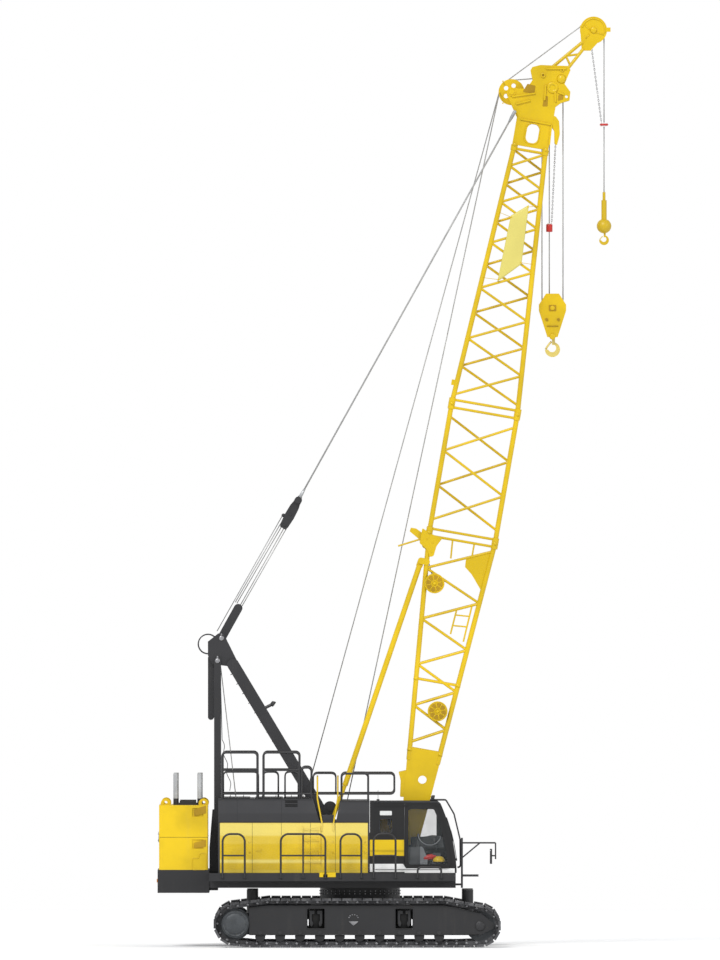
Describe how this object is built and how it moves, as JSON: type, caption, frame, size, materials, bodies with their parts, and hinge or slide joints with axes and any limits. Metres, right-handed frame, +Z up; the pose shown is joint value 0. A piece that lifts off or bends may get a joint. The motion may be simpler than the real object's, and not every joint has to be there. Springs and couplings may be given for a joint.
{
  "type": "crawler crane",
  "caption": "Lattice-boom crawler crane: tracked undercarriage, slewing upper works with cab, gantry, counterweight, hook block and auxiliary ball hook.",
  "frame": {"origin": "middle of the whole crane at ground level, with the slewing axis 0.565 m behind it", "axes": "+Z up, +X ahead where the boom leans, +Y to the left of the machine"},
  "size_m": [10.5633, 5.335, 21.6575],
  "materials": {
    "console_plastic": "matt dark plastic",
    "dark_paint": "satin charcoal paint",
    "machinery": "dark machinery grey",
    "orange_steel": "gloss yellow paint",
    "post_steel": "pale grey steel",
    "rope_steel": "galvanised wire rope",
    "seat_fabric": "dark woven cloth",
    "track_steel": "worn dark steel",
    "window": "clear tinted glass",
    "yellow_paint": "gloss warm yellow paint"
  },
  "bodies": {
    "undercarriage": {"carbody": "dark_paint", "side_frame_right": "dark_paint", "side_frame_left": "dark_paint", "track_right": "track_steel", "track_left": "track_steel", "track_wheels_right": "machinery", "track_wheels_left": "machinery"},
    "upper": {"upper_frame": "dark_paint", "catwalks": "dark_paint", "handrails": "dark_paint", "roof_rails": "dark_paint", "house_shell_right": "dark_paint", "house_shell_left": "dark_paint", "house_panels": "yellow_paint", "engine": "machinery", "gantry_rear_legs": "dark_paint", "gantry_front_legs": "dark_paint", "gantry_head": "dark_paint", "counterweight_tray": "dark_paint", "counterweight_lower": "yellow_paint", "counterweight_upper": "yellow_paint", "lift_posts": "post_steel", "cab_floor": "dark_paint", "cab_roof": "dark_paint", "cab_rear": "dark_paint", "cab_side": "dark_paint", "cab_inner_side": "dark_paint", "cab_front": "dark_paint", "cab_glass": "window", "cab_seat": "seat_fabric", "cab_console": "console_plastic", "cab_guard": "dark_paint", "front_post": "dark_paint"},
    "house_door_right": {"house_door_right": "yellow_paint"},
    "house_door_left": {"house_door_left": "yellow_paint"},
    "cab_door": {"cab_door": "dark_paint", "cab_door_glass": "window"},
    "hoist_drum_front": {"hoist_drum_front": "machinery"},
    "hoist_drum_rear": {"hoist_drum_rear": "machinery"},
    "luffing_drum": {"luffing_drum": "machinery"},
    "boom": {"boom_base": "yellow_paint", "boom_insert": "yellow_paint", "boom_tip": "yellow_paint", "boom_head": "yellow_paint", "aux_jib": "yellow_paint", "backstops": "yellow_paint"},
    "point_sheaves": {"point_sheaves": "machinery"},
    "head_idler": {"head_idler": "yellow_paint"},
    "aux_sheave": {"aux_sheave": "machinery"},
    "stay_arm": {"lower_spreader": "dark_paint", "reeving": "rope_steel"},
    "stay_rods": {"upper_bridle": "dark_paint", "pendants": "rope_steel"},
    "main_line": {"main_falls": "rope_steel"},
    "hook_block": {"main_block": "yellow_paint"},
    "main_hook": {"main_hook": "orange_steel"},
    "aux_line": {"aux_rope": "rope_steel"},
    "aux_hook": {"ball_hook": "yellow_paint"}
  },
  "joints": [
    {"name": "swing", "type": "hinge", "parent": "undercarriage", "child": "upper", "pos_m": [-0.565, 0, 1.27], "axis": [0, 0, 1], "continuous": true},
    {"name": "boom_luff", "type": "hinge", "parent": "upper", "child": "boom", "pos_m": [0.507, 0, 2.004], "axis": [0, 1, 0], "range_deg": [0, 50]},
    {"name": "stay_turn", "type": "hinge", "parent": "upper", "child": "stay_arm", "pos_m": [-3.792, 0, 7.176], "axis": [0, 1, 0], "range_deg": [0, 48.9]},
    {"name": "stay_reach", "type": "slide", "parent": "stay_arm", "child": "stay_rods", "axis": [0.4867, 0, 0.8736], "range_m": [0, 5.6764]},
    {"name": "main_line_hang", "type": "hinge", "parent": "boom", "child": "main_line", "pos_m": [3.9204, 0, 19.99949], "axis": [0, 1, 0], "range_deg": [-50, 0]},
    {"name": "main_hoist", "type": "slide", "parent": "main_line", "child": "hook_block", "axis": [0, 0, -1], "range_m": [-1.35, 12]},
    {"name": "hook_swivel", "type": "hinge", "parent": "hook_block", "child": "main_hook", "pos_m": [3.9204, 0, 14.2], "axis": [0, 0, 1], "continuous": true},
    {"name": "aux_line_hang", "type": "hinge", "parent": "boom", "child": "aux_line", "pos_m": [4.8764, 0, 21.34249], "axis": [0, 1, 0], "range_deg": [-50, 0]},
    {"name": "aux_hoist", "type": "slide", "parent": "aux_line", "child": "aux_hook", "axis": [0, 0, -1], "range_m": [-1.5, 15]},
    {"name": "house_door_right", "type": "hinge", "parent": "upper", "child": "house_door_right", "pos_m": [-2.398, -1.671, 2.3], "axis": [0, 0, 1], "range_deg": [0, 80]},
    {"name": "house_door_left", "type": "hinge", "parent": "upper", "child": "house_door_left", "pos_m": [-2.398, 1.671, 2.3], "axis": [0, 0, -1], "range_deg": [0, 80]},
    {"name": "cab_door", "type": "slide", "parent": "upper", "child": "cab_door", "axis": [-1, 0, 0], "range_m": [0, 0.7]},
    {"name": "hoist_drum_front", "type": "hinge", "parent": "upper", "child": "hoist_drum_front", "pos_m": [-0.667, 0, 2.3], "axis": [0, 1, 0], "continuous": true},
    {"name": "hoist_drum_rear", "type": "hinge", "parent": "upper", "child": "hoist_drum_rear", "pos_m": [-1.8, 0, 2.3], "axis": [0, 1, 0], "continuous": true},
    {"name": "luffing_drum", "type": "hinge", "parent": "upper", "child": "luffing_drum", "pos_m": [-3.045, 0, 2.3], "axis": [0, 1, 0], "continuous": true},
    {"name": "point_sheaves", "type": "hinge", "parent": "boom", "child": "point_sheaves", "pos_m": [3.9204, 0, 19.99949], "axis": [0, 1, 0], "continuous": true},
    {"name": "head_idler", "type": "hinge", "parent": "boom", "child": "head_idler", "pos_m": [2.9654, 0, 19.89749], "axis": [0, 1, 0], "continuous": true},
    {"name": "aux_sheave", "type": "hinge", "parent": "boom", "child": "aux_sheave", "pos_m": [4.8764, 0, 21.34249], "axis": [0, 1, 0], "continuous": true}
  ],
  "couplings": [
    {"joint": "stay_turn", "follows": "boom_luff", "ratio": 0.97777},
    {"joint": "stay_reach", "follows": "boom_luff", "m_per_rad": 6.5035},
    {"joint": "main_line_hang", "follows": "boom_luff", "ratio": -1},
    {"joint": "aux_line_hang", "follows": "boom_luff", "ratio": -1}
  ]
}
